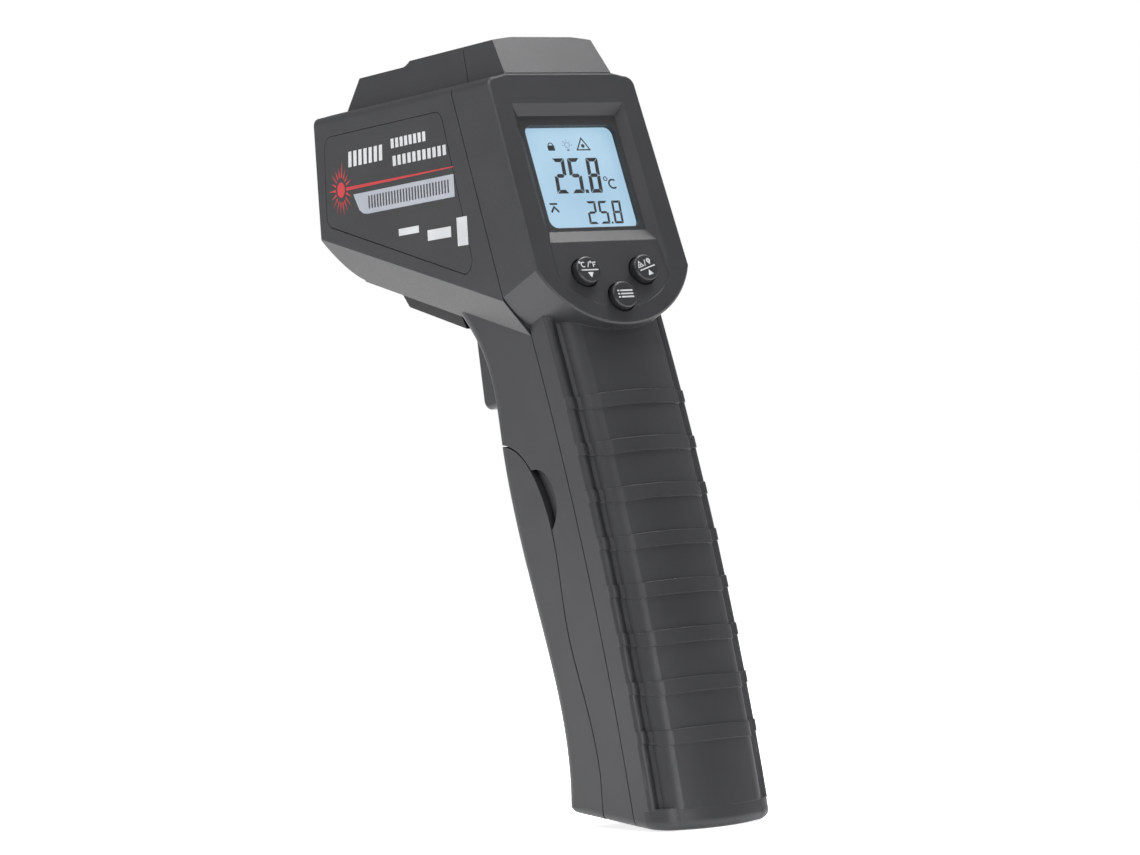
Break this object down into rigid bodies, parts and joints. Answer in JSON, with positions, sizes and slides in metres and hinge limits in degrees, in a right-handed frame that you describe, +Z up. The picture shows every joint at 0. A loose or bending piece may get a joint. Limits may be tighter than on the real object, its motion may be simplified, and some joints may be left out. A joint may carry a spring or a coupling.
{
  "type": "infrared thermometer",
  "caption": "Pistol-grip infrared thermometer with backlit display, keypad, trigger, laser sight and a hinged door over a block battery in the grip.",
  "frame": {"origin": "under the middle of the model's box, on its lowest point", "axes": "+Z is up with the sensor axis level, -Y is where the nose points, +X is the user's left"},
  "size_m": [0.0406, 0.1208, 0.1764],
  "materials": {
    "shell_plastic": "moulded ABS with a fine spark-eroded texture, dark charcoal",
    "trigger_plastic": "moulded ABS, dark charcoal",
    "key_rubber": "moulded silicone rubber keys with printed symbols",
    "label_film": "printed polycarbonate label",
    "window_clear": "clear acrylic display window",
    "lcd_glass": "liquid crystal glass, pale blue when lit",
    "backlight_glow": "acrylic light guide, lit pale blue",
    "inner_plastic": "black moulded ABS",
    "dome_rubber": "grey silicone rubber",
    "circuit_board": "glass-epoxy board with green solder mask",
    "chip_epoxy": "black epoxy packages",
    "optic": "infrared lens, dark and shiny",
    "laser_lens": "small clear window",
    "tube_metal": "turned aluminium sensor tube",
    "brass_body": "turned brass laser body",
    "sensor_can": "nickel-plated sensor can",
    "pin_steel": "zinc-plated steel pins, spring and screws",
    "battery_case": "printed steel jacket of a 9 V battery",
    "lead_insulation": "PVC-insulated wires"
  },
  "bodies": {
    "housing": {"front_shell": "shell_plastic", "rear_shell": "shell_plastic", "side_label_left": "label_film", "side_label_right": "label_film", "display_window": "window_clear", "lcd_panel": "lcd_glass", "backlight": "backlight_glow", "display_frame": "inner_plastic", "nose_cone": "inner_plastic", "trigger_switch": "inner_plastic", "buzzer": "inner_plastic", "battery_clip": "inner_plastic", "key_domes": "dome_rubber", "contact_strips": "dome_rubber", "main_board": "circuit_board", "sensor_board": "circuit_board", "trigger_board": "circuit_board", "board_parts": "chip_epoxy", "sensor_lens": "optic", "laser_window": "laser_lens", "sensor_tube": "tube_metal", "laser_module": "brass_body", "infrared_sensor": "sensor_can", "door_hinge_pin": "pin_steel", "trigger_pin": "pin_steel", "case_screws": "pin_steel", "board_screws": "pin_steel", "battery": "battery_case", "battery_leads": "lead_insulation", "sensor_leads": "lead_insulation", "laser_leads": "lead_insulation"},
    "trigger": {"trigger": "trigger_plastic", "trigger_spring": "pin_steel"},
    "key_left": {"key_left": "key_rubber"},
    "key_right": {"key_right": "key_rubber"},
    "key_mode": {"key_mode": "key_rubber"},
    "battery_door": {"battery_door": "shell_plastic"}
  },
  "joints": [
    {"name": "trigger_hinge", "type": "hinge", "parent": "housing", "child": "trigger", "pos_m": [0, 0.00077, 0.11633], "axis": [1, 0, 0], "range_deg": [0, 8], "stiffness_Nm_per_rad": 0.12, "springref_deg": -5.73},
    {"name": "door_hinge", "type": "hinge", "parent": "housing", "child": "battery_door", "pos_m": [0, 0.03297, 0.00478], "axis": [1, 0, 0], "range_deg": [0, 85]},
    {"name": "key_left_slide", "type": "slide", "parent": "housing", "child": "key_left", "axis": [0, -0.9438, -0.3305], "range_m": [0, 0.0008], "stiffness_N_per_m": 900, "springref_m": -0.0006},
    {"name": "key_right_slide", "type": "slide", "parent": "housing", "child": "key_right", "axis": [0, -0.9438, -0.3305], "range_m": [0, 0.0008], "stiffness_N_per_m": 900, "springref_m": -0.0006},
    {"name": "key_mode_slide", "type": "slide", "parent": "housing", "child": "key_mode", "axis": [0, -0.9438, -0.3305], "range_m": [0, 0.0008], "stiffness_N_per_m": 900, "springref_m": -0.0006}
  ]
}
